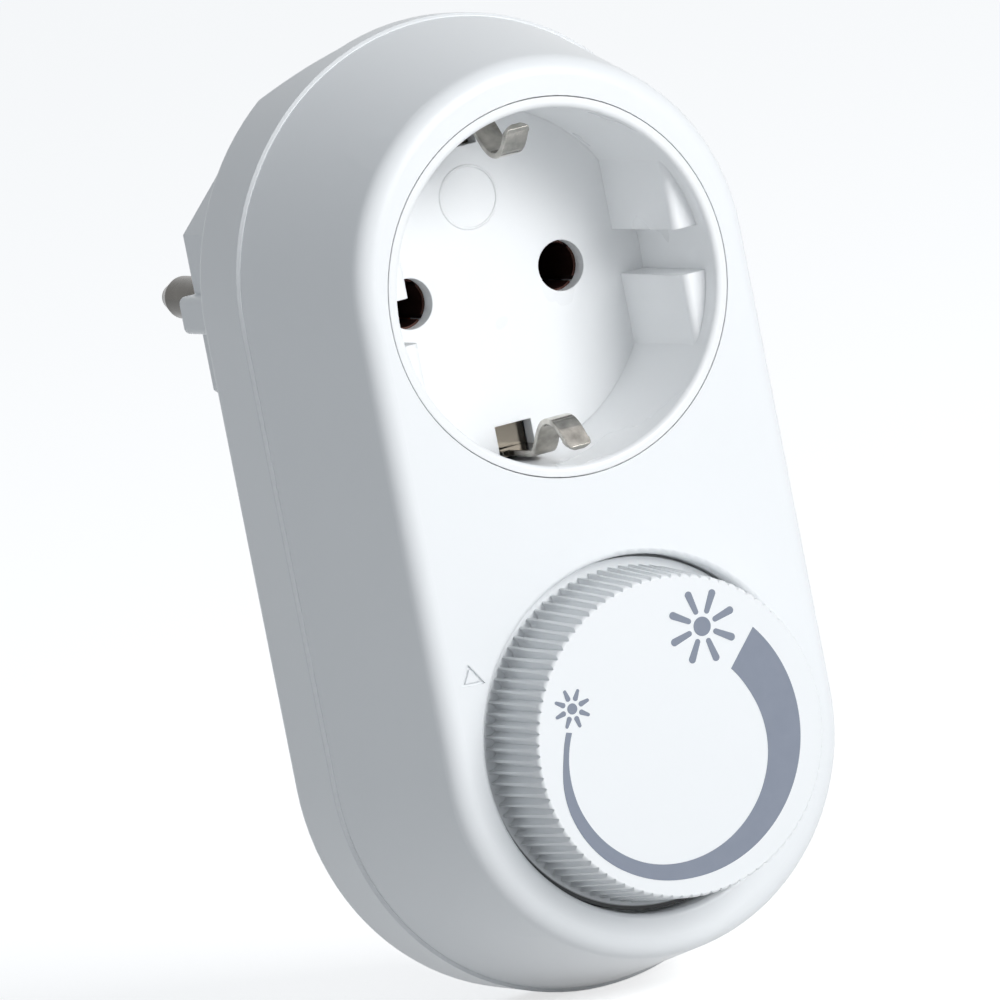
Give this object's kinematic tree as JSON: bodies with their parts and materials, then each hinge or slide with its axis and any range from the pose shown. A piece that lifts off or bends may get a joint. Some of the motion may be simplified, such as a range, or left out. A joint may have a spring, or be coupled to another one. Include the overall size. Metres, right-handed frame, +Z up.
{
  "type": "plug in dimmer",
  "caption": "White plug in dimmer for a wall socket: rounded upright housing with a pass through socket cup above and a ribbed turning dial below.",
  "frame": {"origin": "middle of the plug's nose face, halfway between the two pins", "axes": "+X to the right seen from the front, +Y from the front into the wall along the pins, +Z up along the housing"},
  "size_m": [0.0568, 0.0836, 0.1085],
  "materials": {
    "cover_white": "satin gloss",
    "insert_white": "gloss",
    "dial_white": "satin gloss",
    "nickel": "nickel plated",
    "brass": "bare",
    "copper_link": "bare",
    "steel": "zinc plated",
    "board_green": "satin",
    "wafer_brown": "matte",
    "black_resin": "matte",
    "nylon": "matte",
    "sink_aluminium": "plain",
    "ferrite": "matte",
    "film_blue": "gloss",
    "resin_tan": "matte",
    "fuse_glass": "clear"
  },
  "bodies": {
    "housing": {"front_cover": "cover_white", "rear_cover": "cover_white", "socket_insert": "insert_white", "earth_spring": "nickel", "upper_earth_strip": "nickel", "lower_earth_strip": "nickel", "earth_link": "copper_link", "live_socket_contact": "brass", "neutral_socket_contact": "brass", "live_pin": "nickel", "neutral_pin": "nickel", "live_link": "copper_link", "neutral_link": "copper_link", "load_link": "copper_link", "circuit_board": "board_green", "control_case": "steel", "control_wafer": "wafer_brown", "bush_nut": "steel", "triac": "black_resin", "heat_sink": "sink_aluminium", "choke_core": "ferrite", "choke_winding": "copper_link", "film_capacitor": "film_blue", "diac": "resin_tan", "resistors": "resin_tan", "fuse": "fuse_glass", "fuse_clips": "steel", "cup_screws": "steel", "board_screws": "steel", "housing_screws": "steel"},
    "dial": {"dial": "dial_white", "spindle": "nylon", "wiper": "brass"}
  },
  "joints": [
    {"name": "dial_turn", "type": "hinge", "parent": "housing", "child": "dial", "pos_m": [0, -0.056, -0.0498], "axis": [0, 1, 0], "range_deg": [0, 270]}
  ]
}
